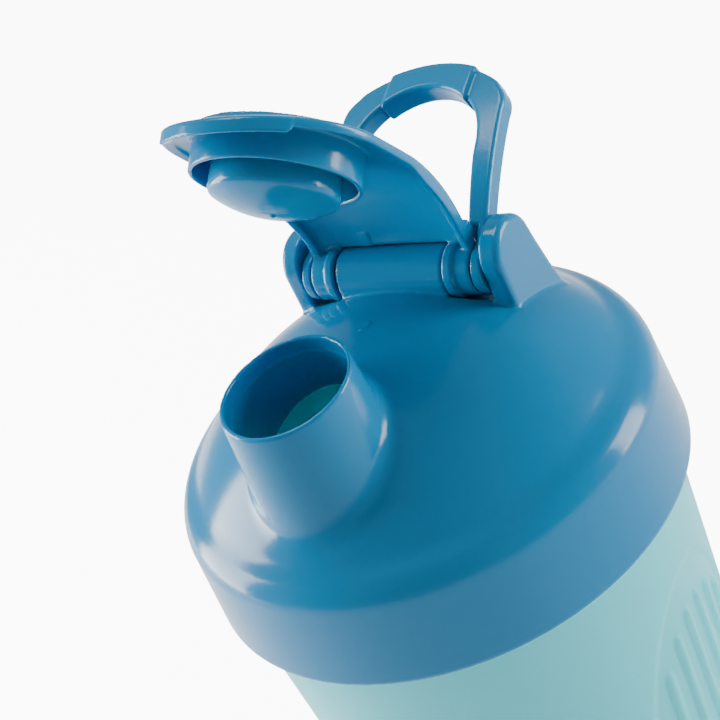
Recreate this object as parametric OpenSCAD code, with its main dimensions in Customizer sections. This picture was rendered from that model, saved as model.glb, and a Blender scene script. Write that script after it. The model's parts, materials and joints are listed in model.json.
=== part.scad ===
// Protein shaker bottle: tumbler, screw lid with spout, flip cap, carry loop and wire whisk ball.
// The bottle stands on z = 0 with its axis on Z. The spout is towards -Y and the hinge towards +Y.

/* [Tumbler] */
// Height of the rim of the tumbler
rim_h = 178; // [150:1:210]
// Outer radius just under the lid
shoulder_r = 44.5; // [43.8:0.1:44.8]
// Outer radius at the foot
foot_r = 36.5; // [34:0.5:40]
// Wall thickness of the tumbler
cup_wall = 1.8; // [1.6:0.1:2.2]
// Number of ribs in each grip panel
rib_count = 6; // [4:1:7]

/* [Lid] */
// Outer radius of the lid at its lower edge
lid_r = 48; // [47.5:0.1:49]
// Wall thickness of the dome
dome_wall = 2; // [1.8:0.1:2.4]
// Radius of the rim of the spout
spout_r = 12.4; // [12.3:0.02:12.44]
// Tilt of the rim of the spout, away from the hinge
spout_tilt = 5.4; // [5:0.1:6]
// Rise of the lid in one whole turn of its three-start thread
thread_lead = 12; // [11.5:0.5:13]

/* [Flip cap and loop] */
// Angle that the flip cap stands open
cap_open = 58.3; // [0:0.1:60]
// Diameter of the hinge pins
pin_d = 4; // [3.6:0.1:4.4]
// Running clearance around the pins
pin_gap = 0.08; // [0.05:0.01:0.1]

/* [Whisk ball] */
// Diameter of the ball
ball_d = 44; // [40:1:48]
// Diameter of its wire
wire_d = 2; // [1.8:0.1:2.4]
// Turns of wire from end to end
ball_turns = 7; // [6:1:8]

/* [Hidden] */
$fn = 96;
aqua = "#9fe3ec";
cyan = "#0b9fd0";

// Tumbler
neck_r = 42.9;
neck_len = 17;
skirt_z = rim_h - neck_len;
shoulder_z = skirt_z + 1;
floor_z = 5.5;
panel_z = skirt_z - 52.5;
panel_half = [20.5, 37];
panel_depth = 0.6;
rib_pitch = 5;
rib_w = 1.8;

// Lid, with heights counted from the lower edge of its skirt
skirt_in_r = 45.4;
seat_h = 18.7;
crease = [41.9, 23.2];
dome_r = 56.06;
dome_top = 42.01;
dome_c = dome_top - dome_r;
collar_r = 40.7;
collar_wall = 1.3;
collar_drop = 4.5;
spout_c = [0, -24.8, 49.5];
spout_flare = 0.08;
ledge_depth = 3;

// Thread ridges
thread_starts = 3;
thread_sectors = 4;
thread_pitch_a = 60;
thread_sector_a = 50;
thread_z0 = 4;
ridge_h = 1.4;

// Hinge: the axis lies along X through (0, hinge_y, hinge_h) and carries, from the middle outwards,
// the saddle, the flange and drum of the cap, the eye of the loop and the lug
hinge_y = 16;
hinge_h = 41.9;
saddle_x = 11.7;
saddle_r = 5;
flange_x = [12, 14];
flange_r = 5.4;
drum_x = 17.3;
drum_r = 4.9;
eye_x = [17.6, 19.6];
eye_r = 4.7;
lug_x = [19.9, 24];
pin_x = [14.5, 21.3];
pocket_r = flange_r + 0.4;
pin_seat_gap = 0.02;
plate_gap = 0.45;
rear_roll = [76, 132];
rear_roll_t = 1.3;

// Flip cap, in the frame of the spout's rim: x across, y towards the hinge, z out of the rim
ring_r = 14.9;
ring_in_r = 13.6;
ring_flare = 0.5;
ring_lip = -6.6;
plug_r = 11.3;
plug_gap = 0.37;
plug_tip = 5.7;
plug_side = -9.2;
plug_relief_a = 16;
plug_relief_y = 0.45;
groove_z = 0.32;
plate_top = 2.9;
plate_t = 1.5;
front_r = 46;
bend_start = 10;
bend_r = 50;
crown_r = 75;
tip_r = 20;
rim_depth = 1.7;
wall_depth = 2.7;
thumb_depth = 2.7;
side_wall = 1.5;

// Carry loop, with distances counted from the hinge axis
loop_c = [56.1, -65.6];
loop_r = 89.8;
loop_t = 4.2;
loop_lean = 23.5;
arch_out = [16.8, 24.2];
arch_in = [22.2, 13.8];
grip_x = 9.2;
grip_proud = 0.6;

// Points of an arc about c, from angle a to angle b
function arc(c, r, a, b, n = 12) =
    [for (i = [0 : n]) let (t = a + (b - a) * i / n) [c[0] + r * cos(t), c[1] + r * sin(t)]];
// Angle on the dome's sphere at which its radius is x
function dome_angle(x, t = 0) = acos(x / (dome_r - t));
function mirrored(points) = [for (i = [len(points) - 1 : -1 : 0]) [-points[i][0], points[i][1]]];

module at_hinge() { translate([0, hinge_y, skirt_z + hinge_h]) children(); }
module at_spout() {
    translate([spout_c[0], spout_c[1], skirt_z + spout_c[2]]) rotate([spout_tilt, 0, 0]) children();
}
// Shape drawn in the plane of y (across) and z (up), extruded along x from x0 to x1
module along_x(x0, x1) {
    translate([x0, 0, 0]) rotate([90, 0, 90]) linear_extrude(x1 - x0) children();
}
module rod_x(r, x0, x1) { translate([x0, 0, 0]) rotate([0, 90, 0]) cylinder(r = r, h = x1 - x0); }

// Thread ridges on the wall at r_wall, standing out to r_crest. Each start is a row of short ring
// sectors tilted to the lead, with a vent gap between one sector and the next
module ridges(r_wall, r_crest, z0) {
    sunk = r_crest > r_wall ? -0.5 : 0.5;
    tilt = atan(thread_lead / (2 * PI * r_wall));
    section = [[r_wall + sunk, -0.8], [r_crest, -0.4], [r_crest, 0.4], [r_wall + sunk, 0.8]];
    for (start = [0 : thread_starts - 1], k = [0 : thread_sectors - 1])
        translate([0, 0, skirt_z + z0 + thread_lead * k * thread_pitch_a / 360])
            rotate([0, 0, start * 360 / thread_starts + k * thread_pitch_a])
            rotate([tilt, 0, 0]) rotate([0, 0, -thread_sector_a / 2])
            rotate_extrude(angle = thread_sector_a) polygon(section);
}

// Outline of a grip panel with its ribs left standing, across the side of the tumbler
module panel_outline() {
    difference() {
        polygon([for (a = [0 : 7.5 : 359]) [panel_half[0] * cos(a), panel_half[1] * sin(a)]]);
        for (k = [0 : rib_count - 1]) {
            x = (k - (rib_count - 1) / 2) * rib_pitch;
            reach = panel_half[1] * sqrt(1 - pow(x / panel_half[0], 2)) - 9.5;
            translate([x - rib_w / 2, -reach]) square([rib_w, 2 * reach]);
        }
    }
}
module panel_cut(side) {
    difference() {
        translate([0, 0, panel_z]) rotate([90, 0, side * 90])
            linear_extrude(60) panel_outline();
        translate([0, 0, 4]) cylinder(r1 = foot_r - panel_depth, r2 = shoulder_r - panel_depth,
                                      h = shoulder_z - 4);
    }
}
module tumbler() {
    outer = concat([[0, 0], [22, 0], [23.5, 1.6], [28.5, 1.6], [30, 0], [foot_r - 3.6, 0]],
                   arc([foot_r - 3.6, 3.6], 3.4, -70, -5, 4),
                   [[shoulder_r, shoulder_z], [neck_r, shoulder_z + 0.8],
                    [neck_r, rim_h - 0.5], [neck_r - 0.5, rim_h]]);
    inner = [[neck_r - cup_wall + 0.5, rim_h], [neck_r - cup_wall, rim_h - 0.5],
             [neck_r - cup_wall, shoulder_z - 2], [shoulder_r - cup_wall - 0.4, shoulder_z - 6],
             [foot_r - cup_wall + 0.2, floor_z + 4], [foot_r - cup_wall - 3, floor_z],
             [0, floor_z]];
    color(aqua) {
        difference() {
            rotate_extrude() polygon(concat(outer, inner));
            for (side = [-1, 1]) panel_cut(side);
        }
        ridges(neck_r, neck_r + ridge_h, thread_z0);
    }
}

// Side views of the hinge saddle and of the two lugs, before the pockets are cut
module saddle_shape() {
    circle(r = saddle_r);
    polygon([[-saddle_r, -9], [-saddle_r, 0], [0, 2.4], [4.4, 2.4], [14.5, -11]]);
}
module lug_shape() {
    polygon(concat([[13.9, -15.2], [10.6, -5], [9.4, 1.3]], arc([3.6, 1.6], 6.2, 10, 100, 6),
                   arc([2.2, 1.6], 6.2, 100, 180, 6), [[-4, -12]]));
}
module hinge_block() {
    at_hinge() {
        along_x(-saddle_x, saddle_x) saddle_shape();
        along_x(lug_x[0], lug_x[1]) lug_shape();
        along_x(-lug_x[1], -lug_x[0]) lug_shape();
    }
}
// Thicker part of the dome, on its inside, under the hinge
module hinge_pad() {
    intersection() {
        translate([-22, 8, skirt_z + 33]) cube([44, 17, 12]);
        translate([0, 0, skirt_z + dome_c]) sphere(r = dome_r - dome_wall + 0.5);
    }
}
module lid_shell() {
    outer_start = dome_angle(crease[0]);
    inner_start = dome_angle(crease[0] - 2, dome_wall);
    translate([0, 0, skirt_z]) rotate_extrude() polygon(concat(
        [[skirt_in_r + 0.6, 0], [lid_r - 0.5, 0], [lid_r, 0.5], [lid_r - 1.05, 18.9]],
        arc([lid_r - 3.6, 18.9], 2.5, 5, 80, 5), [crease],
        arc([0, dome_c], dome_r, outer_start, 90, 20),
        arc([0, dome_c], dome_r - dome_wall, 90, inner_start, 16),
        [[collar_r - collar_wall, seat_h - collar_drop], [collar_r, seat_h - collar_drop],
         [collar_r, seat_h], [skirt_in_r, seat_h], [skirt_in_r, 2]]));
}
module spout_cone(r, z_low, z_top) {
    translate([0, 0, z_low])
        cylinder(r1 = r + spout_flare * -z_low, r2 = r - spout_flare * z_top, h = z_top - z_low);
}
module lid() {
    bore_r = plug_r + plug_gap;
    color(cyan) {
        difference() {
            union() {
                lid_shell();
                difference() {
                    hinge_block();
                    translate([0, 0, skirt_z + dome_c]) sphere(r = dome_r - dome_wall + 0.4);
                }
                hinge_pad();
                // Cone of the spout, cut level with its tilted rim
                difference() {
                    translate([0, spout_c[1], skirt_z + spout_c[2]])
                        spout_cone(spout_r, -25, 2);
                    at_spout() translate([-20, -20, 0]) cube([40, 40, 10]);
                    translate([0, 0, skirt_z + dome_c]) sphere(r = dome_r - dome_wall);
                }
            }
            // Bore of the spout: wide mouth, ledge, then the throat
            at_spout() {
                translate([0, 0, -ledge_depth]) cylinder(r = bore_r, h = 20);
                translate([0, 0, -14]) cylinder(r = bore_r - 0.2, h = 20);
            }
            translate([0, spout_c[1], skirt_z + 20]) cylinder(r = bore_r - 0.4, h = 20);
            at_hinge() for (side = [-1, 1]) mirror([side < 0 ? 1 : 0, 0, 0]) {
                rod_x(pocket_r, saddle_x, lug_x[0]);
                rod_x(pin_d / 2 + pin_seat_gap, lug_x[0] - 1, pin_x[1] + 0.1);
            }
        }
        ridges(skirt_in_r, skirt_in_r - ridge_h, thread_z0 + thread_lead / thread_starts / 2);
    }
}
module lid_seal() {
    color("#dfe6e8") translate([0, 0, skirt_z]) rotate_extrude()
        polygon([[collar_r + 0.05, neck_len + 0.1], [44.6, neck_len + 0.1], [44.6, seat_h - 0.3],
                 [44.4, seat_h - 0.05], [collar_r + 0.05, seat_h - 0.05]]);
}

// Outline of the cap's plate, inset by t, from its round tip to past the hinge axis
module cap_outline(t) {
    polygon(concat(arc([0, 0], tip_r - t, 180, 360, 32),
                   [[tip_r - t - 0.4, 12], [drum_x - t, 32], [drum_x - t, 46],
                    [-drum_x + t, 46], [-drum_x + t, 32], [-tip_r + t + 0.4, 12]]));
}
// Height of the middle of the outer face of the plate at y
function plate_z(y) = plate_top
    - (y < 0 ? front_r - sqrt(front_r * front_r - y * y)
     : y < bend_start ? 0 : bend_r - sqrt(bend_r * bend_r - pow(y - bend_start, 2)));
// Band crowned across the cap, from depth d0 under the outer face down to depth d1. Both are
// lists of [y, depth]
module crowned(d0, d1) {
    base = plate_top - crown_r;
    translate([0, 0, base]) rotate([-90, 0, 0]) rotate([0, 0, -112]) rotate_extrude(angle = 44, $fn = 240)
        polygon(concat([for (p = d0) [plate_z(p[0]) - base - p[1], p[0]]],
                       [for (i = [len(d1) - 1 : -1 : 0])
                           [plate_z(d1[i][0]) - base - d1[i][1], d1[i][0]]]));
}
function even(y0, y1, d, n = 16) = [for (i = [0 : n]) [y0 + (y1 - y0) * i / n, d]];
module cap_plate() {
    lower = concat(even(-21, -14.6, thumb_depth, 4), even(-14.4, 10, rim_depth, 10),
                   [[14, rim_depth + 0.3]], even(18, 42, wall_depth, 10));
    difference() {
        intersection() {
            crowned(even(-21, 42, 0, 36), lower);
            translate([0, 0, -40]) linear_extrude(60) cap_outline(0);
        }
        intersection() {
            crowned(even(-21, 42, plate_t, 36), even(-21, 42, 12, 4));
            translate([0, 0, -40]) linear_extrude(60) cap_outline(side_wall);
        }
    }
}
// Skirt ring that goes round the spout, and the plug that fills its mouth. The plug's side towards
// the hinge is relieved, so that it swings past the mouth
module cap_ring_and_plug() {
    tip = ring_lip - plug_tip;
    dome_h = plug_side - tip;
    cap_r = (plug_r * plug_r + dome_h * dome_h) / (2 * dome_h);
    half = asin(plug_r / cap_r);
    intersection() {
        rotate_extrude() polygon(concat([[0, 1.2], [plug_r, 1.2]],
                                        arc([0, tip + cap_r], cap_r, -90 + half, -90, 10)));
        translate([0, -plug_relief_y, 0]) rotate([-plug_relief_a, 0, 0]) translate([0, 0, -20])
            cylinder(r = plug_r, h = 26);
    }
    rotate_extrude() polygon([
        [ring_in_r, -0.5], [ring_in_r + ring_flare, ring_lip + 0.25],
        [ring_in_r + ring_flare + 0.2, ring_lip], [ring_r - 0.25, ring_lip],
        [ring_r, ring_lip + 0.25], [ring_r, -0.5]]);
    intersection() {
        rotate_extrude() polygon([[ring_in_r, -1], [ring_in_r, 5], [ring_r, 5], [ring_r, -1]]);
        crowned(even(-21, 42, 0.4, 36), even(-21, 42, 9, 4));
    }
}
// Flange, drum and the gusset that joins them to the plate, on one side
module cap_knuckle() {
    rod_x(flange_r, flange_x[0], flange_x[1]);
    rod_x(drum_r, flange_x[0] + 0.5, drum_x);
    along_x(flange_x[0], drum_x - 0.3)
        polygon([[-3.2, 3.2], [-6.8, 5.4], [-6.5, 6.9], [-3, 5.8], [0, 4.2], [1, 2], [-2, 1]]);
}
// Rolled rear edge of the plate, over the saddle
module rear_edge() {
    r0 = saddle_r + plate_gap + 0.1;
    r1 = r0 + rear_roll_t;
    half = flange_x[0] + 0.2;
    rotate([0, 90, 0]) rotate([0, 0, 90 + rear_roll[0]])
        rotate_extrude(angle = rear_roll[1] - rear_roll[0])
            polygon([[r0, -half], [r1, -half], [r1, half], [r0, half]]);
}
module closed_cap() {
    difference() {
        union() {
            difference() {
                at_spout() {
                    cap_plate();
                    cap_ring_and_plug();
                }
                at_hinge() rod_x(saddle_r + plate_gap, -flange_x[0], flange_x[0]);
                at_hinge() translate([-30, 0, -20]) cube([60, 20, 40]);
            }
            at_hinge() for (side = [-1, 1]) mirror([side < 0 ? 1 : 0, 0, 0]) cap_knuckle();
            at_hinge() rear_edge();
            // Small nub on the rear edge of the plate
            at_hinge() along_x(-7, -5) polygon([[-6, 5.4], [-5, 7], [-3, 5.6], [-3.6, 4.4]]);
        }
        // Groove over the rim of the spout
        at_spout() rotate_extrude() polygon([[plug_r, groove_z], [plug_r, -1], [ring_in_r, -1],
                                             [ring_in_r, groove_z - 0.9], [ring_in_r - 0.3, groove_z]]);
        at_hinge() for (side = [-1, 1]) mirror([side < 0 ? 1 : 0, 0, 0])
            rod_x(pin_d / 2 + pin_gap, pin_x[0] - 0.3, drum_x + 1);
    }
}
module flip_cap() {
    color(cyan) at_hinge() rotate([-cap_open, 0, 0])
        translate([0, -hinge_y, -skirt_z - hinge_h]) closed_cap();
}

// Outline of the loop seen square to its arms: x across, y along the arms
module loop_outline() {
    arm_in = eye_x[0] + 0.1;
    arm_step = eye_x[0] - 2;
    shoulder = arc([11.7, 29.9], 6.2, -5, 46, 6);
    top = arc([0, arch_out[0]], arch_out[1], 52, 90, 8);
    inner = [[-arm_in, -8], [-arm_in, 6], [-arm_step, 6], [-arm_step, 7.5],
             [0.3 - arch_in[1], arch_in[0] + 1]];
    right = concat([[eye_x[1] - 0.1, 0], [eye_x[1] - 0.1, 8]], shoulder, top);
    difference() {
        polygon(concat(right, mirrored(right)));
        translate([0, arch_in[0]]) circle(r = arch_in[1]);
        polygon(concat(inner, mirrored(inner)));
    }
}
module grip_outline() {
    intersection() {
        difference() {
            translate([0, arch_out[0]]) circle(r = arch_out[1] + grip_proud);
            translate([0, arch_in[0]]) circle(r = arch_in[1] - grip_proud);
        }
        polygon([[-grip_x, 30], [-grip_x, 50], [grip_x, 50], [grip_x, 30]]);
    }
}
// Bent slab of the loop, with its outer radius and thickness
module loop_slab(r, t) {
    along_x(-25, 25) translate(loop_c) difference() {
        circle(r = r, $fn = 360);
        circle(r = r - t, $fn = 360);
    }
}
module carry_loop() {
    color(cyan) at_hinge() difference() {
        union() {
            intersection() {
                loop_slab(loop_r, loop_t);
                rotate([loop_lean, 0, 0]) translate([0, 0, -30]) linear_extrude(60) loop_outline();
            }
            intersection() {
                loop_slab(loop_r + grip_proud, loop_t + 2 * grip_proud);
                rotate([loop_lean, 0, 0]) translate([0, 0, -30]) linear_extrude(60) grip_outline();
            }
            for (side = [-1, 1]) mirror([side < 0 ? 1 : 0, 0, 0]) rod_x(eye_r, eye_x[0], eye_x[1]);
        }
        rod_x(pin_d / 2 + pin_gap, -30, 30);
    }
}
module pin(side) {
    color(cyan) at_hinge() mirror([side < 0 ? 1 : 0, 0, 0]) rod_x(pin_d / 2, pin_x[0], pin_x[1]);
}
module hinge_pin_left() { pin(-1); }
module hinge_pin_right() { pin(1); }

// Spring wire wound into a ball, from pole to pole
module whisk_ball() {
    r = (ball_d - wire_d) / 2;
    sides = 8;
    rings = ball_turns * 24;
    polar = 14;
    function spot(i) = let (lat = -90 + polar + (180 - 2 * polar) * i / rings, lon = 15 * i)
        [r * cos(lat) * cos(lon), r * cos(lat) * sin(lon), r * sin(lat)];
    points = [for (i = [0 : rings])
        let (p = spot(i), q = spot(i + 0.5) - spot(i - 0.5), t = q / norm(q), n = p / norm(p),
             b = cross(t, n))
        for (k = [0 : sides - 1])
            p + wire_d / 2 * (cos(k * 360 / sides) * n + sin(k * 360 / sides) * b)];
    faces = concat([for (i = [0 : rings - 1]) for (k = [0 : sides - 1])
                        let (a = sides * i + k, b = sides * i + (k + 1) % sides)
                            [a, b, b + sides, a + sides]],
                   [[for (k = [sides - 1 : -1 : 0]) k], [for (k = [0 : sides - 1]) sides * rings + k]]);
    color("#c9ccd0") translate([0, 0, floor_z + ball_d / 2 + 0.2]) polyhedron(points, faces);
}

tumbler();
lid();
lid_seal();
flip_cap();
carry_loop();
hinge_pin_left();
hinge_pin_right();
whisk_ball();
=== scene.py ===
import json
import math

import bpy
import numpy as np
from mathutils import Matrix, Vector


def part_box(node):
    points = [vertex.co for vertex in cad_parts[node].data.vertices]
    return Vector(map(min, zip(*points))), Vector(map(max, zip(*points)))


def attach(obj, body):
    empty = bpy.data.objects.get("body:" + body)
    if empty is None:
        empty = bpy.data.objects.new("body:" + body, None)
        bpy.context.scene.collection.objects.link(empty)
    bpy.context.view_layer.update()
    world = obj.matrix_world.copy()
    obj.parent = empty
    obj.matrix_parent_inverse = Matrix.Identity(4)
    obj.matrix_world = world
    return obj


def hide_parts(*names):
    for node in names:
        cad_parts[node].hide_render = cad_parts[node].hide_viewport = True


# Protein shaker bottle. Shapes are worked out in millimetres, in the row frame, and turned to
# metres when they become meshes. Moulded pieces are signed-distance solids: negative inside.

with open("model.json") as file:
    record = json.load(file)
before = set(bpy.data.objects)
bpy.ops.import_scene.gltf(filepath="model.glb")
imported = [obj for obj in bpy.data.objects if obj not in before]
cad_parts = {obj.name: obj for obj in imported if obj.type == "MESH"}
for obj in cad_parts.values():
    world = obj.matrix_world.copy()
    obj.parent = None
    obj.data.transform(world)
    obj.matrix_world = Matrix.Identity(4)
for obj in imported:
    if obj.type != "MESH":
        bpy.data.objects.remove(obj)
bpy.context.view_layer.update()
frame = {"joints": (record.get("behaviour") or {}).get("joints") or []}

MM = 0.001


def joint_place(name):
    """Position of a joint of the record, in millimetres."""
    for joint in frame["joints"]:
        if joint["name"] == name:
            return np.array(joint["pos_m"]) / MM


def joint_range(name):
    for joint in frame["joints"]:
        if joint["name"] == name:
            return joint["range_deg"]


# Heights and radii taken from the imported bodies
RIM_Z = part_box("tumbler")[1].z / MM
SKIRT_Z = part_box("lid")[0].z / MM
LID_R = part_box("lid")[1].x / MM
BALL_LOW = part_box("whisk_ball")[0].z / MM
HINGE = joint_place("cap_flip")
CAP_OPEN = math.radians(-joint_range("cap_flip")[0])

# Tumbler
SHOULDER_R = 44.5
FOOT_R = 36.5
NECK_R = 42.9
CUP_WALL = 1.8
FLOOR_Z = 5.5
PANEL_Z = SKIRT_Z - 52.5
PANEL_HALF = (20.5, 37.0)
PANEL_DEPTH = 0.6
RIB_PITCH = 5.0
RIB_COUNT = 6
THREAD_LEAD = 12.0
THREAD_STARTS = 3
THREAD_HEIGHT = 1.4
THREAD_Z = 4.0

# Lid, with heights from the lower edge of its skirt
CREASE = (41.9, 23.2)
DOME_R = 56.06
DOME_C = 42.01 - DOME_R
DOME_WALL = 2.0
SKIRT_NORMAL = (0.9985, 0.0555)
SHOULDER_NORMAL = (0.5318, 0.8469)
SHOULDER_ROUND = 2.6
RING_INSIDE = 34
SKIRT_IN = 45.4
SEAT_H = 18.7
COLLAR = (39.4, 40.7)
COLLAR_LOW = 14.2
SPOUT_C = np.array([0.0, -24.8, SKIRT_Z + 49.5])
SPOUT_R = 12.4
SPOUT_FLARE = 0.08
SPOUT_TILT = math.radians(5.4)
BORE_R = 11.67
BORE_STEP = 0.25
LEDGE = 3.0

# Hinge, outwards from the middle
SADDLE_X = 11.7
SADDLE_R = 5.0
FLANGE_X = (12.0, 14.0)
FLANGE_R = 5.4
DRUM_X = 17.3
DRUM_R = 4.9
EYE_X = (17.6, 19.6)
EYE_R = 4.7
LUG_X = (19.9, 24.0)
PIN_END = 21.4
PIN_R = 2.0
PIN_HOLE_R = 2.08
PIN_SOCKET_R = 2.02
PLATE_GAP = 0.45
REAR_ROLL = (math.radians(76), math.radians(132))

# Flip cap, in the frame of the spout's rim
PLATE_TOP = 2.9
PLATE_T = 1.5
FRONT_R = 46.0
BEND_START = 10.0
BEND_R = 50.0
CROWN_R = 75.0
TIP_R = 20.0
TIP_NARROWING = 0.4
REAR_V = 32
RIM_WIDTH = 1.6
RING_R = 14.9
RING_IN = 13.6
RING_LIP = -6.6
RING_FLARE = 0.5
PLUG_R = 11.35
PLUG_SIDE = -9.2
PLUG_TIP = -12.3
PLUG_DRAFT = 0.02

# Carry loop, from the hinge axis
LOOP_C = (56.1, -65.6)
LOOP_R = 89.8
LOOP_T = 4.2
LOOP_LEAN = math.radians(23.5)
OUTER_BOW = (16.8, 24.2)
INNER_BOW = (22.2, 13.8)
GRIP_EXTRA = 0.6
GRIP_LOW = 28
GRIP_X = 9.4

# Camera and lens fitted to the outlines of the lid: degrees, then millimetres
CAMERA_AZ, CAMERA_EL, CAMERA_ROLL = 42.633, 31.899, -26.635
CAMERA_BACK, CAMERA_LEFT, CAMERA_UP = 360.143, 16.71, 25.737
CAMERA_LENS = 94.19


# ---------------------------------------------------------------- distance helpers

def round_max(a, b, r):
    """Intersection with an edge rounded to radius r."""
    u = np.maximum(a + r, 0)
    v = np.maximum(b + r, 0)
    return np.minimum(np.maximum(a, b), -r) + np.hypot(u, v)


def soft_min(a, b, k):
    """Union with a fillet about k wide."""
    h = np.maximum(k - np.abs(a - b), 0) / k
    return np.minimum(a, b) - h * h * k / 4


def soft_max(a, b, k):
    return -soft_min(-a, -b, k)


def arc_points(c, r, a, b, n=16):
    t = np.radians(np.linspace(a, b, n))
    return [(c[0] + r * math.cos(q), c[1] + r * math.sin(q)) for q in t]


def polygon(points, x, y):
    """Signed distance to a closed outline."""
    d = np.full(x.shape, 1e9)
    inside = np.zeros(x.shape, bool)
    for i, (ax, ay) in enumerate(points):
        bx, by = points[i - 1]
        ex, ey = bx - ax, by - ay
        wx, wy = x - ax, y - ay
        t = np.clip((wx * ex + wy * ey) / max(ex * ex + ey * ey, 1e-12), 0, 1)
        d = np.minimum(d, (wx - ex * t) ** 2 + (wy - ey * t) ** 2)
        if ay != by:
            crosses = (ay > y) != (by > y)
            inside ^= crosses & (wx < ex * wy / ey)
    d = np.sqrt(d)
    return np.where(inside, -d, d)


def slab(x, lo, hi):
    return np.maximum(lo - x, x - hi)


def from_hinge(y, z):
    return y - HINGE[1], z - HINGE[2]


def turned_shut(dy, dz):
    """Offsets from the hinge on the open cap, turned to where they are on the shut one."""
    c, s = math.cos(CAP_OPEN), math.sin(CAP_OPEN)
    return dy * c - dz * s, dy * s + dz * c


# ---------------------------------------------------------------- solids to meshes

def sample(solid, lo, hi, step):
    """The solid on a grid, worked out finely only near its surface."""
    coarse = 4
    cells = [int(math.ceil((hi[i] - lo[i]) / (step * coarse))) for i in range(3)]
    axes = [lo[i] + step * coarse * np.arange(cells[i] + 1) for i in range(3)]
    grid = np.meshgrid(*axes, indexing="ij")
    rough = solid(*[g.ravel() for g in grid]).reshape(grid[0].shape)
    fine_n = [c * coarse + 1 for c in cells]
    near_i = [np.minimum((np.arange(n) + coarse // 2) // coarse, cells[i])
              for i, n in enumerate(fine_n)]
    values = rough[np.ix_(*near_i)].copy()
    mask = np.abs(values) < step * coarse * 1.8
    idx = np.nonzero(mask)
    points = [lo[i] + step * idx[i] for i in range(3)]
    values[mask] = solid(*points)
    return values


def surface_nets(values, lo, step):
    """Vertices and quads of the zero surface of a sampled solid."""
    sign = values < 0
    n = np.array(values.shape) - 1
    corners = [(i, j, k) for i in (0, 1) for j in (0, 1) for k in (0, 1)]

    def part(a, c):
        return a[c[0]:c[0] + n[0], c[1]:c[1] + n[1], c[2]:c[2] + n[2]]

    count = sum(part(sign, c).astype(np.int8) for c in corners)
    active = (count > 0) & (count < 8)
    where = np.argwhere(active)
    number = np.full(active.shape, -1, np.int64)
    number[active] = np.arange(len(where))
    total = np.zeros((len(where), 3))
    hits = np.zeros(len(where))
    for a in corners:
        for axis in range(3):
            if a[axis] == 1:
                continue
            b = list(a)
            b[axis] = 1
            va = part(values, a)[active]
            vb = part(values, b)[active]
            cut = (va < 0) != (vb < 0)
            t = np.where(cut, va / np.where(cut, va - vb, 1), 0)
            spot = np.tile(np.array(a, float), (len(where), 1))
            spot[:, axis] += t
            total += spot * cut[:, None]
            hits += cut
    verts = lo + step * (where + total / hits[:, None])
    quads = []
    for axis in range(3):
        u, v = (axis + 1) % 3, (axis + 2) % 3
        head = [slice(1, n[i]) for i in range(3)]
        head[axis] = slice(0, n[axis])
        tail = list(head)
        tail[axis] = slice(1, n[axis] + 1)
        s0, s1 = sign[tuple(head)], sign[tuple(tail)]
        spots = np.argwhere(s0 != s1)
        out = s0[s0 != s1]
        base = spots.copy()
        base[:, u] += 1
        base[:, v] += 1
        ring = []
        for du, dv in ((0, 0), (-1, 0), (-1, -1), (0, -1)):
            q = base.copy()
            q[:, u] += du
            q[:, v] += dv
            ring.append(number[q[:, 0], q[:, 1], q[:, 2]])
        quad = np.stack(ring, 1)
        quad[~out] = quad[~out][:, ::-1]
        quads.append(quad)
    return verts, np.concatenate(quads)


def gradient(solid, p, h=0.02):
    g = np.empty_like(p)
    for i in range(3):
        e = np.zeros(3)
        e[i] = h
        g[:, i] = solid(*(p + e).T) - solid(*(p - e).T)
    return g / (2 * h)


def settle(solid, verts, step, rounds=3):
    """Moves the vertices on to the solid's surface."""
    start = verts.copy()
    for _ in range(rounds):
        d = solid(*verts.T)
        g = gradient(solid, verts)
        move = d[:, None] * g / np.maximum((g * g).sum(1), 0.25)[:, None]
        verts = verts - np.clip(move, -step / 2, step / 2)
        verts = start + np.clip(verts - start, -step * 0.7, step * 0.7)
    return verts


def mesh_object(name, verts, faces, smooth=True):
    """A mesh object from points in millimetres."""
    mesh = bpy.data.meshes.new(name)
    verts = np.asarray(verts, float) * MM
    if isinstance(faces, np.ndarray):
        mesh.vertices.add(len(verts))
        mesh.vertices.foreach_set("co", verts.ravel())
        size = faces.shape[1]
        mesh.loops.add(faces.size)
        mesh.loops.foreach_set("vertex_index", faces.ravel().astype(np.int32))
        mesh.polygons.add(len(faces))
        mesh.polygons.foreach_set("loop_start", np.arange(0, faces.size, size, dtype=np.int32))
        mesh.update(calc_edges=True)
    else:
        mesh.from_pydata([tuple(v) for v in verts], [], faces)
    mesh.validate()
    mesh.polygons.foreach_set("use_smooth", [smooth] * len(mesh.polygons))
    obj = bpy.data.objects.new(name, mesh)
    bpy.context.scene.collection.objects.link(obj)
    return obj


def solid_object(name, solid, lo, hi, step):
    lo = np.array(lo, float)
    verts, quads = surface_nets(sample(solid, lo, hi, step), lo, step)
    return mesh_object(name, settle(solid, verts, step), quads)


# ---------------------------------------------------------------- thread shared by lid and neck

def thread_ridge(x, y, z, z0):
    """Distance along the axis from the nearest ridge of the three-start thread, or a large
    number in a vent gap or past the thread's ends."""
    best = np.full(x.shape, 9.0)
    angle = np.degrees(np.arctan2(y, x))
    for start in range(THREAD_STARTS):
        along = (angle - start * 360 / THREAD_STARTS + 25) % 360
        centre = z0 + THREAD_LEAD * (along - 25) / 360
        gap = np.abs(along % 60 - 25) - 25
        off = np.where((gap < 0) & (along < 235), np.abs(z - centre), 9.0)
        best = np.minimum(best, off)
    return best


# ---------------------------------------------------------------- lid

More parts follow.
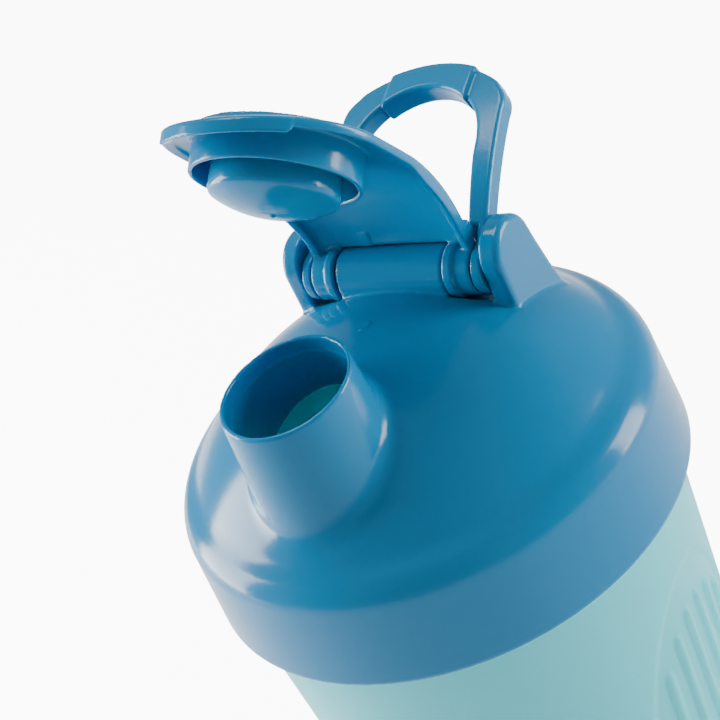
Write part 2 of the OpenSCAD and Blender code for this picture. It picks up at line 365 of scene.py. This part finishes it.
def lid_outer(r, h):
    """Skirt, top ring and dome, as a solid of revolution."""
    side = (r - LID_R) * SKIRT_NORMAL[0] + h * SKIRT_NORMAL[1]
    top = (r - CREASE[0]) * SHOULDER_NORMAL[0] + (h - CREASE[1]) * SHOULDER_NORMAL[1]
    ring = round_max(side, top, SHOULDER_ROUND)
    ring = np.maximum(ring, RING_INSIDE - r)
    dome = np.maximum(np.hypot(r, h - DOME_C) - DOME_R, 21 - h)
    core = np.maximum(r - 40, h - 22)
    body = soft_min(np.minimum(dome, core), ring, 0.35)
    return round_max(body, -h, 0.55)


def lid_hollow(r, h):
    """The space under the dome and inside the skirt, less the collar round the seal."""
    skirt = np.maximum(r - SKIRT_IN, h - SEAT_H)
    collar = round_max(slab(r, *COLLAR), COLLAR_LOW - h, 0.4)
    dome = np.maximum(np.hypot(r, h - DOME_C) - (DOME_R - DOME_WALL), r - COLLAR[0])
    return np.minimum(np.maximum(skirt, -collar), dome)


def tilted(x, y, z):
    """Coordinates in the frame of the spout's rim: across, towards the hinge, out of the rim."""
    dy, dz = y - SPOUT_C[1], z - SPOUT_C[2]
    c, s = math.cos(SPOUT_TILT), math.sin(SPOUT_TILT)
    return x, dy * c + dz * s, dz * c - dy * s


def spout_body(x, y, z):
    """Cone that narrows upwards to a rim square to the tilted mouth."""
    dz = z - SPOUT_C[2]
    wall = (np.hypot(x, y - SPOUT_C[1]) - SPOUT_R + SPOUT_FLARE * dz) * 0.9945
    _, _, w = tilted(x, y, z)
    return np.maximum(round_max(wall, w, 0.32), -25 - dz)


def spout_bore(x, y, z):
    """Mouth with a small step at the ledge, and the straight throat under it."""
    _, v, w = tilted(x, y, z)
    depth = np.clip((-LEDGE + 0.12 - w) / 0.24, 0, 1)
    radius = BORE_R - BORE_STEP * depth
    mouth = np.hypot(x, v) - radius
    throat = np.maximum(np.hypot(x, y - SPOUT_C[1]) - BORE_R + 0.3, z - SPOUT_C[2] + 9)
    return np.maximum(np.minimum(mouth, throat), -22 - w)


def lug(x, y, z):
    """One hinge lug, with its outer front edge rounded off."""
    outline = ([(13.9, -15.4), (11.6, -8), (10.0, -1)] + arc_points((3.0, 1.6), 6.4, 5, 95, 20)
               + arc_points((2.4, 1.6), 6.4, 95, 180, 16) + [(-4, -12)])
    d = polygon(outline, *from_hinge(y, z))
    outer = round_max(d, np.abs(x) - LUG_X[1], 1.3)
    return round_max(outer, LUG_X[0] - np.abs(x), 0.35)


def saddle(x, y, z):
    """Barrel between the lugs, with the ramp that carries it."""
    dy, dz = from_hinge(y, z)
    barrel = np.hypot(dy, dz) - SADDLE_R
    under = polygon([(-SADDLE_R, -9), (-SADDLE_R, 0), (0, 2.4), (4.4, 2.4), (14.5, -11)], dy, dz)
    return round_max(soft_min(barrel, under, 0.8), np.abs(x) - SADDLE_X, 0.3)


def hinge_pad(x, y, z):
    """Block inside the dome that thickens it under the hinge."""
    block = np.maximum(np.abs(x) - 22, np.maximum(slab(y, 8, 25), SKIRT_Z + 33 - z))
    return np.maximum(block, np.hypot(np.hypot(x, y), z - SKIRT_Z - DOME_C) - DOME_R + 1)


def gate_mark(x, r, h):
    """Small raised arc that the mould leaves at the top of the dome."""
    mark = np.hypot(r - 1.1, h - 42.0) - 0.22
    return np.maximum(mark, -x - 0.3)


def lid_thread(x, y, r, h):
    ridge = thread_ridge(x, y, h, THREAD_Z + THREAD_LEAD / THREAD_STARTS / 2)
    tooth = np.maximum(ridge - 0.6, slab(r, SKIRT_IN - THREAD_HEIGHT, SKIRT_IN + 0.5))
    return np.maximum(tooth, -h)


def lid_solid(x, y, z):
    r = np.hypot(x, y)
    h = z - SKIRT_Z
    body = lid_outer(r, h)
    body = soft_min(body, spout_body(x, y, z), 2.2)
    body = soft_min(body, np.minimum(lug(x, y, z), saddle(x, y, z)), 0.9)
    body = soft_min(body, gate_mark(x, r, h), 0.2)
    hollow = np.maximum(lid_hollow(r, h), -hinge_pad(x, y, z))
    body = np.maximum(body, -hollow)
    body = np.minimum(body, lid_thread(x, y, r, h))
    body = soft_max(body, -spout_bore(x, y, z), 0.5)
    axle_r = np.hypot(*from_hinge(y, z))
    pocket = np.maximum(axle_r - FLANGE_R - 0.4, slab(np.abs(x), SADDLE_X, LUG_X[0]))
    body = soft_max(body, -pocket, 0.35)
    socket = np.maximum(axle_r - PIN_SOCKET_R, slab(np.abs(x), SADDLE_X, PIN_END))
    return np.maximum(body, -socket)


# ---------------------------------------------------------------- flip cap

def cap_frame(x, y, z):
    """Row coordinates of the open cap, turned shut and put in the frame of the spout's rim."""
    shut_y, shut_z = turned_shut(*from_hinge(y, z))
    return tilted(x, shut_y + HINGE[1], shut_z + HINGE[2])


def plate_height(v):
    """Top of the plate on its middle line: arched to the front, bent down to the hinge."""
    front = np.sqrt(FRONT_R ** 2 - np.clip(-v, 0, 30) ** 2) - FRONT_R
    rear = np.sqrt(BEND_R ** 2 - np.clip(v - BEND_START, 0, 36) ** 2) - BEND_R
    return PLATE_TOP + front + rear


def cap_side(x, v, inset):
    """Outline of the plate from above, inset from its edge."""
    tip = np.hypot(x, v) - TIP_R
    waist_v = 12
    waist_x = TIP_R - TIP_NARROWING
    slope = (waist_x - DRUM_X) / (REAR_V - waist_v)
    flank = (np.abs(x) - waist_x + slope * (v - waist_v)) / math.hypot(1, slope)
    rear = np.where(v > REAR_V, np.abs(x) - DRUM_X, flank)
    blend_v = np.clip((v + 2) / 14, 0, 1)
    wide = np.abs(x) - TIP_R + TIP_NARROWING * blend_v * blend_v
    side = np.where(v < 0, tip, np.where(v < waist_v, wide, rear))
    return side + inset


def cap_plate(x, v, w):
    """Crowned plate, hollow underneath, with a thumb lip at the front and deeper rear walls."""
    base = PLATE_TOP - CROWN_R
    bend = np.clip(v - BEND_START, 0, 36) / BEND_R
    lean = np.sqrt(1 - bend * bend)
    above = (np.hypot(x, w - base) - (plate_height(v) - base)) * lean
    lip = np.clip((-14.3 - v) / 0.5, 0, 1)
    wall = np.clip((v - 9) / 9, 0, 1)
    depth = 1.7 + 1.0 * lip + 1.0 * wall * wall * (3 - 2 * wall)
    outline = cap_side(x, v, 0) - 0.18 * lip
    full = round_max(round_max(above, outline, 0.45), -above - depth, 0.4)
    return np.maximum(full, -soft_max(cap_side(x, v, RIM_WIDTH), above + PLATE_T, 0.9))


def cap_ring(x, v, w):
    r = np.hypot(x, v)
    flare = RING_FLARE * np.clip(-w / -RING_LIP, 0, 1)
    wall = np.maximum(r - RING_R, RING_IN + flare - r)
    tube = round_max(wall, RING_LIP - w, 0.28)
    return np.maximum(tube, w - 1.2)


def cap_plug(x, v, w):
    r = np.hypot(x, v)
    dome_h = PLUG_SIDE - PLUG_TIP
    ball_r = (PLUG_R ** 2 + dome_h ** 2) / (2 * dome_h)
    bowl = np.hypot(r, w - PLUG_TIP - ball_r) - ball_r
    body = round_max(bowl, r - PLUG_R - PLUG_DRAFT * (PLUG_SIDE - w), 0.6)
    pip = np.hypot(np.hypot(x - 0.6, v + 0.4), w - PLUG_TIP) - 0.5
    return np.maximum(soft_min(body, pip, 0.5), w - 1.0)


def cap_knuckles(x, y, z):
    """Flanges, drums and gussets, in the frame of the open cap."""
    dy, dz = from_hinge(y, z)
    r = np.hypot(dy, dz)
    flange = round_max(r - FLANGE_R, slab(np.abs(x), *FLANGE_X), 0.3)
    drum = round_max(r - DRUM_R, slab(np.abs(x), FLANGE_X[0] + 0.5, DRUM_X), 0.3)
    shut_y, shut_z = turned_shut(dy, dz)
    gusset = polygon([(-3.2, 3.2), (-6.8, 5.4), (-6.5, 6.9), (-3, 5.8), (0, 4.2), (1, 2), (-2, 1)],
                     shut_y, shut_z)
    gusset = round_max(gusset, slab(np.abs(x), FLANGE_X[0], DRUM_X - 0.3), 0.3)
    nub = polygon([(-6, 5.4), (-5, 7), (-3, 5.6), (-3.6, 4.0)], shut_y, shut_z)
    nub = round_max(nub, slab(x, -7, -5), 0.25)
    return soft_min(soft_min(flange, drum, 0.25), np.minimum(gusset, nub), 0.5)


def rear_edge(x, r, angle):
    """Rolled rear edge of the plate, over the saddle."""
    inner_r = SADDLE_R + PLATE_GAP
    roll = np.maximum(slab(angle, *REAR_ROLL) * r, slab(r, inner_r, SADDLE_R + 1.9))
    return round_max(roll, np.abs(x) - FLANGE_X[0], 0.4)


def cap_solid(x, y, z):
    cx, v, w = cap_frame(x, y, z)
    dy, dz = from_hinge(y, z)
    shut_y, shut_z = turned_shut(dy, dz)
    r = np.hypot(dy, dz)
    plate = soft_max(cap_plate(cx, v, w), shut_y, 0.3)
    clear = np.maximum(r - SADDLE_R - PLATE_GAP, np.abs(x) - FLANGE_X[0])
    plate = soft_max(plate, -clear, 0.4)
    edge = rear_edge(x, r, np.arctan2(shut_z, shut_y))
    body = soft_min(soft_min(plate, edge, 0.8), cap_knuckles(x, y, z), 0.6)
    body = soft_min(body, cap_ring(cx, v, w), 0.7)
    body = soft_min(body, cap_plug(cx, v, w), 0.7)
    rc = np.hypot(cx, v)
    groove = np.maximum(slab(rc, PLUG_R, RING_IN - 0.3), slab(w, -1.5, 0.32))
    body = np.maximum(body, -groove)
    bore = np.maximum(r - PIN_HOLE_R, FLANGE_X[1] + 0.2 - np.abs(x))
    return np.maximum(body, -bore)


# ---------------------------------------------------------------- carry loop

def loop_face(ax, up):
    """The loop seen flat, with its window: distance from the middle, distance from the hinge."""
    right = ([(EYE_X[1] - 0.1, -1), (EYE_X[1] - 0.1, 8)] + arc_points((11.7, 29.9), 6.2, -5, 46, 16)
             + arc_points((0, OUTER_BOW[0]), OUTER_BOW[1], 52, 90, 24) + [(-3, 41), (-3, -1)])
    outer = polygon(right, ax, up)
    window = np.hypot(ax, up - INNER_BOW[0]) - INNER_BOW[1]
    legs = polygon([(0, -8), (17.7, -8), (17.7, 5.9), (15.6, 5.9), (13.5, 23.2), (0, 23.2)], ax, up)
    hole = soft_min(window, legs, 0.6)
    return soft_max(outer, -hole, 0.4)


def loop_grip(ax, up, mid):
    """Thicker stretch in the middle of the bow."""
    outer = np.hypot(ax, up - OUTER_BOW[0]) - (OUTER_BOW[1] + GRIP_EXTRA)
    inner = INNER_BOW[1] - GRIP_EXTRA - np.hypot(ax, up - INNER_BOW[0])
    flat = np.maximum(np.maximum(outer, inner), GRIP_LOW - up)
    return round_max(round_max(flat, mid - GRIP_EXTRA, 0.9), ax - GRIP_X, 0.5)


def loop_solid(x, y, z):
    dy, dz = from_hinge(y, z)
    ax = np.abs(x)
    up = dy * math.cos(LOOP_LEAN) + dz * math.sin(LOOP_LEAN)
    bend_r = np.hypot(dy - LOOP_C[0], dz - LOOP_C[1])
    mid = np.abs(bend_r - LOOP_R + LOOP_T / 2) - LOOP_T / 2
    body = round_max(loop_face(ax, up), mid, 0.75)
    body = soft_min(body, loop_grip(ax, up, mid), 0.4)
    r = np.hypot(dy, dz)
    eye = round_max(r - EYE_R, slab(ax, *EYE_X), 0.3)
    body = soft_min(body, eye, 0.5)
    body = np.maximum(body, PIN_HOLE_R - r)
    drum_room = np.maximum(r - 5.9, ax - EYE_X[0])
    return np.maximum(body, -drum_room)


# ---------------------------------------------------------------- lathed and swept pieces

def revolve(points, turns=192):
    """Closed ring of quads from a closed outline of (radius, height)."""
    n = len(points)
    verts, faces = [], []
    for i in range(turns):
        a = 2 * math.pi * i / turns
        verts += [(p[0] * math.cos(a), p[0] * math.sin(a), p[1]) for p in points]
    for i in range(turns):
        j = (i + 1) % turns
        faces += [(i * n + k, j * n + k, j * n + (k + 1) % n, i * n + (k + 1) % n)
                  for k in range(n)]
    return verts, faces


def rounded(points, r, steps=5):
    """The outline with each corner rounded to about r."""
    out = []
    for i, p in enumerate(points):
        a = Vector(points[i - 1]) - Vector(p)
        b = Vector(points[(i + 1) % len(points)]) - Vector(p)
        cut = min(r, a.length * 0.45, b.length * 0.45)
        start, end = Vector(p) + a.normalized() * cut, Vector(p) + b.normalized() * cut
        for k in range(steps):
            t = k / (steps - 1)
            q = start * (1 - t) ** 2 + 2 * Vector(p) * t * (1 - t) + end * t * t
            out.append((q.x, q.y))
    return out


def tube_faces(rings, n):
    """Quads between rings of n points each, with a cap on both ends."""
    faces = []
    for k in range(rings - 1):
        faces += [(k * n + i, k * n + (i + 1) % n, (k + 1) * n + (i + 1) % n, (k + 1) * n + i)
                  for i in range(n)]
    faces.append(tuple(range(n))[::-1])
    faces.append(tuple(range((rings - 1) * n, rings * n)))
    return faces


def seal_mesh():
    """Flat ring with a shallow groove round the middle of its top."""
    inner, outer = 40.75, 44.6
    low, high = SKIRT_Z + 17.1, SKIRT_Z + 18.6
    outline = [(inner, low), (outer, low), (outer, high), (43.2, high), (42.6, high - 0.25),
               (42.0, high), (inner, high)]
    return revolve(rounded(outline, 0.3))


def pin_mesh(side):
    """Hinge pin with its ends rounded, lying along X."""
    lo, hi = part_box("hinge_pin_right" if side > 0 else "hinge_pin_left")
    x0, x1 = lo.x / MM, hi.x / MM
    edge, sides = 0.35, 40
    outline = [(PIN_R - edge, x0), (PIN_R - 0.1, x0 + 0.1), (PIN_R, x0 + edge),
               (PIN_R, x1 - edge), (PIN_R - 0.1, x1 - 0.1), (PIN_R - edge, x1)]
    verts = []
    for r, x in outline:
        for i in range(sides):
            a = 2 * math.pi * i / sides
            verts.append((x, HINGE[1] + r * math.cos(a), HINGE[2] + r * math.sin(a)))
    return verts, tube_faces(len(outline), sides)


def ball_mesh(turns=7, wire=1.0, radius=21.0, polar=14.0, sides=14):
    """Spring wire wound from pole to pole, with its ends rounded."""
    rings = turns * 48
    centre = Vector((0, 0, FLOOR_Z + 22.2))

    def spot(i):
        lat = math.radians(-90 + polar + (180 - 2 * polar) * i / rings)
        lon = math.radians(7.5 * i)
        return Vector((math.cos(lat) * math.cos(lon), math.cos(lat) * math.sin(lon),
                       math.sin(lat))) * radius

    verts = []
    ends = [(0.12, 0.96), (0.30, 0.75), (0.42, 0.35)]
    steps = [(-past, size) for past, size in ends[::-1]]
    steps += [(float(i), 1.0) for i in range(rings + 1)]
    steps += [(rings + past, size) for past, size in ends]
    for i, size in steps:
        p = spot(i)
        t = (spot(i + 0.5) - spot(i - 0.5)).normalized()
        n = p.normalized()
        b = t.cross(n)
        for k in range(sides):
            a = 2 * math.pi * k / sides
            verts.append(centre + p + (n * math.cos(a) + b * math.sin(a)) * wire * size)
    return verts, tube_faces(len(steps), sides)


# ---------------------------------------------------------------- tumbler

def smooth_step(t):
    t = np.clip(t, 0, 1)
    return t * t * (3 - 2 * t)


def panel_relief(theta, z, r):
    """How far the grip panels on both sides push the wall in, with their ribs left standing."""
    across = r * np.sin(theta)
    face = np.abs(np.cos(theta)) > 0.5
    up = z - PANEL_Z
    reach = np.hypot(across / PANEL_HALF[0], up / PANEL_HALF[1])
    inside = smooth_step((1 - reach) * PANEL_HALF[0] / 1.3) * face
    ribs = np.zeros_like(inside)
    for k in range(RIB_COUNT):
        x = (k - (RIB_COUNT - 1) / 2) * RIB_PITCH
        half = PANEL_HALF[1] * math.sqrt(1 - (x / PANEL_HALF[0]) ** 2) - 9.5
        bar = np.hypot(across - x, np.maximum(np.abs(up) - half + 0.9, 0))
        ribs = np.maximum(ribs, smooth_step((1.25 - bar) / 0.75))
    return PANEL_DEPTH * inside * (1 - ribs) - 0.25 * ribs * inside


def outside_rows(shoulder_z):
    """Foot ring, wall and neck from the middle of the base up: (height, radius, kind)."""
    foot = [(0.5, 0), (8, 0), (16, 0), (21.6, 0), (22.3, 0.15), (22.9, 0.7), (23.6, 1.4),
            (24.4, 1.6), (27.6, 1.6), (28.4, 1.4), (29.1, 0.7), (29.7, 0.15), (30.4, 0)]
    foot += arc_points((FOOT_R - 3.6, 3.6), 3.6, -90, -5, 10)
    rows = [(z, r, "plain") for r, z in foot]
    panel_low, panel_high = PANEL_Z - PANEL_HALF[1], PANEL_Z + PANEL_HALF[1]
    wall = np.concatenate([np.linspace(5, panel_low - 2, 24),
                           np.linspace(panel_low - 1.4, panel_high + 1.4, 124),
                           np.linspace(panel_high + 2.2, shoulder_z - 0.5, 10)])
    widen = SHOULDER_R - FOOT_R
    rows += [(z, FOOT_R + widen * (z - 4) / (shoulder_z - 4), "panel") for z in wall]
    shoulder = [(SHOULDER_R, shoulder_z - 0.15), (SHOULDER_R - 0.25, shoulder_z + 0.15),
                (NECK_R + 0.35, shoulder_z + 0.5), (NECK_R + 0.05, shoulder_z + 0.8)]
    rows += [(z, r, "plain") for r, z in shoulder]
    rows += [(z, NECK_R, "thread") for z in np.linspace(shoulder_z + 1, RIM_Z - 1.4, 52)]
    return rows


def inside_rows(shoulder_z):
    """Rim, inner wall and floor, down to the middle: (height, radius, kind)."""
    neck_in = NECK_R - CUP_WALL
    wall_in = SHOULDER_R - CUP_WALL - 0.4
    outline = arc_points((NECK_R - 0.9, RIM_Z - 0.9), 0.9, 0, 180, 9)
    outline += [(neck_in, RIM_Z - 3), (neck_in, shoulder_z - 1), (neck_in + 0.1, shoulder_z - 2.2),
                (wall_in, shoulder_z - 6)]
    low = FLOOR_Z + 4
    for t in np.linspace(0.06, 1, 16):
        outline.append((wall_in + (FOOT_R + 0.6 - SHOULDER_R) * t,
                        shoulder_z - 6 + (low - shoulder_z + 6) * t))
    outline += arc_points((FOOT_R - CUP_WALL - 3.4, FLOOR_Z + 3.6), 3.6, -8, -90, 8)
    outline += [(r, FLOOR_Z) for r in (24, 16, 8, 0.5)]
    return [(z, r, "plain") for r, z in outline]


def tumbler_mesh(sides=512):
    """Cup with grip panels, thread ridges, rolled rim, floor and foot ring."""
    theta = 2 * math.pi * np.arange(sides) / sides
    shoulder_z = SKIRT_Z + 1
    rows = outside_rows(shoulder_z) + inside_rows(shoulder_z)
    verts = []
    for z, r, kind in rows:
        radius = np.full(sides, float(r))
        if kind == "panel":
            radius = radius - panel_relief(theta, z, r)
        if kind == "thread":
            off = thread_ridge(np.cos(theta) * r, np.sin(theta) * r,
                               np.full(sides, z - SKIRT_Z), THREAD_Z)
            radius = radius + THREAD_HEIGHT * smooth_step((0.95 - off) / 0.5)
        verts.append(np.stack([radius * np.cos(theta), radius * np.sin(theta),
                               np.full(sides, float(z))], 1))
    return np.concatenate(verts), tube_faces(len(rows), sides)


# ---------------------------------------------------------------- materials

def new_material(name):
    material = bpy.data.materials.new(name)
    material.use_nodes = True
    nodes = material.node_tree.nodes
    return material, nodes, material.node_tree.links, nodes["Principled BSDF"]


def object_noise(nodes, links, scale, detail=3.0):
    place = nodes.new("ShaderNodeTexCoord")
    noise = nodes.new("ShaderNodeTexNoise")
    noise.inputs["Scale"].default_value = scale
    noise.inputs["Detail"].default_value = detail
    links.new(place.outputs["Object"], noise.inputs["Vector"])
    return noise


def ranged(nodes, links, source, low, high):
    ramp = nodes.new("ShaderNodeMapRange")
    ramp.inputs["To Min"].default_value = low
    ramp.inputs["To Max"].default_value = high
    links.new(source, ramp.inputs["Value"])
    return ramp.outputs["Result"]


def two_tone(nodes, links, source, dark, light):
    ramp = nodes.new("ShaderNodeValToRGB")
    ramp.color_ramp.elements[0].position = 0.3
    ramp.color_ramp.elements[0].color = (*dark, 1)
    ramp.color_ramp.elements[1].position = 0.7
    ramp.color_ramp.elements[1].color = (*light, 1)
    links.new(source, ramp.inputs["Fac"])
    return ramp.outputs["Color"]


def fine_bump(nodes, links, shader, scale, strength, distance):
    noise = object_noise(nodes, links, scale)
    bump = nodes.new("ShaderNodeBump")
    bump.inputs["Strength"].default_value = strength
    bump.inputs["Distance"].default_value = distance
    links.new(noise.outputs["Fac"], bump.inputs["Height"])
    links.new(bump.outputs["Normal"], shader.inputs["Normal"])


def cyan_plastic():
    material, nodes, links, shader = new_material("cyan_plastic")
    noise = object_noise(nodes, links, 18)
    links.new(two_tone(nodes, links, noise.outputs["Fac"], (0.0, 0.17, 0.36), (0.0, 0.18, 0.375)),
              shader.inputs["Base Color"])
    streak = object_noise(nodes, links, 60)
    links.new(ranged(nodes, links, streak.outputs["Fac"], 0.13, 0.19), shader.inputs["Roughness"])
    shader.inputs["Subsurface Weight"].default_value = 0.2
    shader.inputs["Subsurface Radius"].default_value = (0.05, 0.6, 1.0)
    shader.inputs["Subsurface Scale"].default_value = 0.003
    shader.inputs["IOR"].default_value = 1.47
    shader.inputs["Specular IOR Level"].default_value = 0.3
    fine_bump(nodes, links, shader, 900, 0.06, 0.0002)
    return material


def aqua_plastic():
    material, nodes, links, shader = new_material("aqua_plastic")
    noise = object_noise(nodes, links, 12)
    links.new(two_tone(nodes, links, noise.outputs["Fac"], (0.12, 0.84, 0.96), (0.15, 0.87, 0.97)),
              shader.inputs["Base Color"])
    streak = object_noise(nodes, links, 90)
    links.new(ranged(nodes, links, streak.outputs["Fac"], 0.3, 0.42), shader.inputs["Roughness"])
    shader.inputs["Subsurface Weight"].default_value = 0.5
    shader.inputs["Subsurface Radius"].default_value = (0.4, 1.0, 1.0)
    shader.inputs["Subsurface Scale"].default_value = 0.01
    shader.inputs["Transmission Weight"].default_value = 0.3
    shader.inputs["IOR"].default_value = 1.35
    fine_bump(nodes, links, shader, 1200, 0.05, 0.0002)
    return material


def seal_silicone():
    material, nodes, links, shader = new_material("seal_silicone")
    noise = object_noise(nodes, links, 40)
    links.new(two_tone(nodes, links, noise.outputs["Fac"], (0.66, 0.72, 0.74), (0.74, 0.79, 0.81)),
              shader.inputs["Base Color"])
    links.new(ranged(nodes, links, noise.outputs["Fac"], 0.5, 0.65), shader.inputs["Roughness"])
    shader.inputs["Subsurface Weight"].default_value = 0.2
    shader.inputs["Subsurface Scale"].default_value = 0.002
    fine_bump(nodes, links, shader, 1500, 0.1, 0.0002)
    return material


def ball_steel():
    material, nodes, links, shader = new_material("ball_steel")
    noise = object_noise(nodes, links, 30)
    links.new(two_tone(nodes, links, noise.outputs["Fac"], (0.60, 0.61, 0.62), (0.72, 0.73, 0.74)),
              shader.inputs["Base Color"])
    streak = object_noise(nodes, links, 300)
    links.new(ranged(nodes, links, streak.outputs["Fac"], 0.14, 0.26), shader.inputs["Roughness"])
    shader.inputs["Metallic"].default_value = 1.0
    fine_bump(nodes, links, shader, 800, 0.08, 0.0002)
    return material


def floor_paint():
    material, nodes, links, shader = new_material("floor_paint")
    noise = object_noise(nodes, links, 3)
    links.new(two_tone(nodes, links, noise.outputs["Fac"], (0.93, 0.93, 0.94), (0.95, 0.95, 0.95)),
              shader.inputs["Base Color"])
    shader.inputs["Roughness"].default_value = 0.8
    shader.inputs["Emission Color"].default_value = (1.0, 1.0, 1.0, 1)
    rays = nodes.new("ShaderNodeLightPath")
    links.new(ranged(nodes, links, rays.outputs["Is Camera Ray"], 0.2, 9.0),
              shader.inputs["Emission Strength"])
    return material


# ---------------------------------------------------------------- assembly

def add_piece(obj, body, node, material):
    obj.data.materials.append(material)
    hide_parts(node)
    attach(obj, body)


def build_bottle():
    cyan, aqua = cyan_plastic(), aqua_plastic()
    lid = solid_object("lid_shell", lid_solid, (-49.2, -49.2, SKIRT_Z - 1.2),
                       (49.2, 49.2, SKIRT_Z + 52.5), 0.45)
    add_piece(lid, "lid", "lid", cyan)
    cap = solid_object("flip_cap_shell", cap_solid, (-21, -16, 196.5), (21, 23.5, 258), 0.36)
    add_piece(cap, "cap", "flip_cap", cyan)
    loop = solid_object("carry_loop_shell", loop_solid, (-21, 10, 196.5), (21, 56, 228), 0.34)
    add_piece(loop, "loop", "carry_loop", cyan)
    for side, label in ((-1, "left"), (1, "right")):
        pin = mesh_object("pin_" + label, *pin_mesh(side))
        add_piece(pin, "lid", "hinge_pin_" + label, cyan)
    cup = mesh_object("tumbler_cup", *tumbler_mesh())
    add_piece(cup, "cup", "tumbler", aqua)
    seal = mesh_object("seal_ring", *seal_mesh())
    add_piece(seal, "seal", "lid_seal", seal_silicone())
    ball = mesh_object("whisk_wire", *ball_mesh())
    add_piece(ball, "ball", "whisk_ball", ball_steel())


# ---------------------------------------------------------------- stage, lights and camera

def build_stage():
    half, level = 3.0 / MM, -0.05
    verts = [(-half, -half, level), (half, -half, level), (half, half, level), (-half, half, level)]
    floor = mesh_object("floor", verts, [(0, 1, 2, 3)], smooth=False)
    floor.data.materials.append(floor_paint())


def area_light(name, place, target, size, power):
    light = bpy.data.lights.new(name, "AREA")
    light.shape = "RECTANGLE"
    light.size, light.size_y = size
    light.energy = power
    obj = bpy.data.objects.new(name, light)
    obj.location = place
    aim = Vector(target) - Vector(place)
    obj.rotation_euler = aim.to_track_quat("-Z", "Y").to_euler()
    bpy.context.scene.collection.objects.link(obj)


def build_lights():
    world = bpy.data.worlds.new("studio")
    world.use_nodes = True
    background = world.node_tree.nodes["Background"]
    background.inputs["Color"].default_value = (1, 1, 1, 1)
    background.inputs["Strength"].default_value = 0.5
    bpy.context.scene.world = world
    aim = (0, 0, 0.18)
    area_light("key_left", (-0.95, -0.25, 0.30), aim, (0.5, 0.9), 26)
    area_light("key_right", (0.75, 0.55, 0.15), aim, (0.35, 0.9), 16)
    area_light("top_soft", (-0.35, 0.25, 1.3), aim, (0.5, 0.5), 7)


def build_camera():
    """Camera looking down on the lid, rolled so that the bottle leans."""
    az, el, roll = (math.radians(a) for a in (CAMERA_AZ, CAMERA_EL, CAMERA_ROLL))
    back = Vector((math.sin(az) * math.cos(el), -math.cos(az) * math.cos(el), math.sin(el)))
    right = Vector((math.cos(az), math.sin(az), 0))
    up = back.cross(right)
    right, up = (right * math.cos(roll) + up * math.sin(roll),
                 up * math.cos(roll) - right * math.sin(roll))
    place = back * CAMERA_BACK - right * CAMERA_LEFT + up * CAMERA_UP + Vector((0, 0, SKIRT_Z))
    data = bpy.data.cameras.new("camera")
    data.sensor_width = 36
    data.lens = CAMERA_LENS
    data.clip_start = 0.01
    camera = bpy.data.objects.new("camera", data)
    matrix = Matrix((right, up, back)).transposed().to_4x4()
    matrix.translation = place * MM
    camera.matrix_world = matrix
    bpy.context.scene.collection.objects.link(camera)
    bpy.context.scene.camera = camera


build_bottle()
build_stage()
build_lights()
build_camera()
